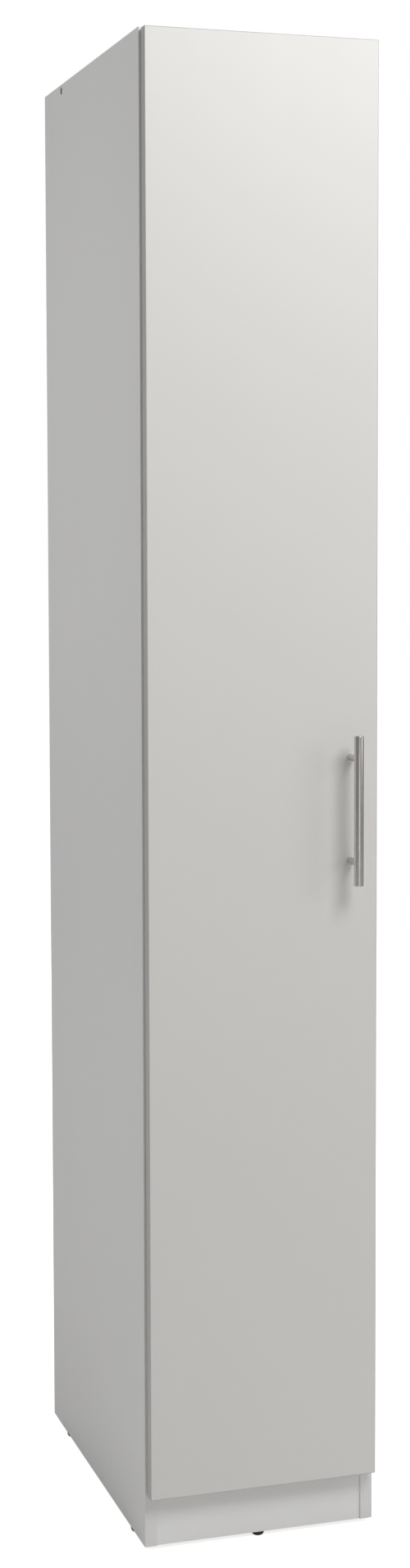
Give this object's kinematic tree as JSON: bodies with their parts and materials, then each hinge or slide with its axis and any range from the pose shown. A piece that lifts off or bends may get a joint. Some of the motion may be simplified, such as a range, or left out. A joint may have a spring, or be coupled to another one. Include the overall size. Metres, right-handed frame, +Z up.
{
  "type": "broom cupboard",
  "caption": "Tall narrow cupboard with one full-height door on cup hinges, a bar handle, a fixed shelf and an open space for brooms.",
  "frame": {"origin": "on the floor, in the middle of the cupboard's outline in plan, from the handle to the rear edges", "axes": "+Z up, +X to the right seen from the front, +Y to the rear; the door faces -Y"},
  "size_m": [0.3, 0.528, 1.856],
  "materials": {
    "board_white": "white melamine coating, satin",
    "band_white": "white plastic edge band, satin",
    "hardboard_white": "thin fibreboard, white lacquer",
    "beech": "bare beech",
    "steel_handle": "brushed satin nickel",
    "steel_zinc": "zinc plated",
    "zinc_cast": "zinc die casting",
    "nickel": "nickel plated, pressed steel",
    "glide_black": "black plastic",
    "bumper_clear": "soft clear pads"
  },
  "bodies": {
    "carcass": {"side_panel_left": "board_white", "side_panel_right": "board_white", "top_panel": "board_white", "base_panel": "board_white", "fixed_shelf": "board_white", "kickboard": "board_white", "wall_rail": "board_white", "back_panel": "hardboard_white", "side_band_left": "band_white", "side_band_right": "band_white", "cross_panel_bands": "band_white", "cam_locks": "zinc_cast", "cam_bolts": "steel_zinc", "dowels": "beech", "through_screws": "steel_zinc", "glides": "glide_black", "glide_nails": "steel_zinc", "hinge_arm_pins": "steel_zinc", "hinge_plate_screws": "steel_zinc", "hinge_arm_screws": "steel_zinc", "hinge_arm_1": "nickel", "hinge_arm_2": "nickel", "hinge_arm_3": "nickel", "hinge_plate_1": "zinc_cast", "hinge_plate_2": "zinc_cast", "hinge_plate_3": "zinc_cast"},
    "long_links": {"hinge_long_link_1": "steel_zinc", "hinge_long_link_2": "steel_zinc", "hinge_long_link_3": "steel_zinc"},
    "short_links": {"hinge_short_link_1": "steel_zinc", "hinge_short_link_2": "steel_zinc", "hinge_short_link_3": "steel_zinc"},
    "door": {"door_panel": "board_white", "door_band_left": "band_white", "door_band_right": "band_white", "door_band_bottom": "band_white", "door_band_top": "band_white", "door_bumpers": "bumper_clear", "handle_bar": "steel_handle", "handle_posts": "steel_handle", "handle_screws": "steel_zinc", "hinge_cup_pins": "steel_zinc", "hinge_cup_screws": "steel_zinc", "hinge_cup_1": "nickel", "hinge_cup_2": "nickel", "hinge_cup_3": "nickel"}
  },
  "joints": [
    {"name": "door_swing", "type": "hinge", "parent": "long_links", "child": "door", "pos_m": [-0.1377, -0.216, 0.96275], "axis": [0, 0, -1], "range_deg": [0, 121.6]},
    {"name": "long_link_swing", "type": "hinge", "parent": "carcass", "child": "long_links", "pos_m": [-0.113, -0.1981, 0.96275], "axis": [0, 0, -1], "range_deg": [-26.6, 0]},
    {"name": "short_link_swing", "type": "hinge", "parent": "carcass", "child": "short_links", "pos_m": [-0.1193, -0.2137, 0.96275], "axis": [0, 0, -1], "range_deg": [-38, 0]}
  ],
  "couplings": [
    {"joint": "long_link_swing", "follows": "door_swing", "ratio": -0.21875},
    {"joint": "short_link_swing", "follows": "door_swing", "ratio": -0.3125}
  ]
}
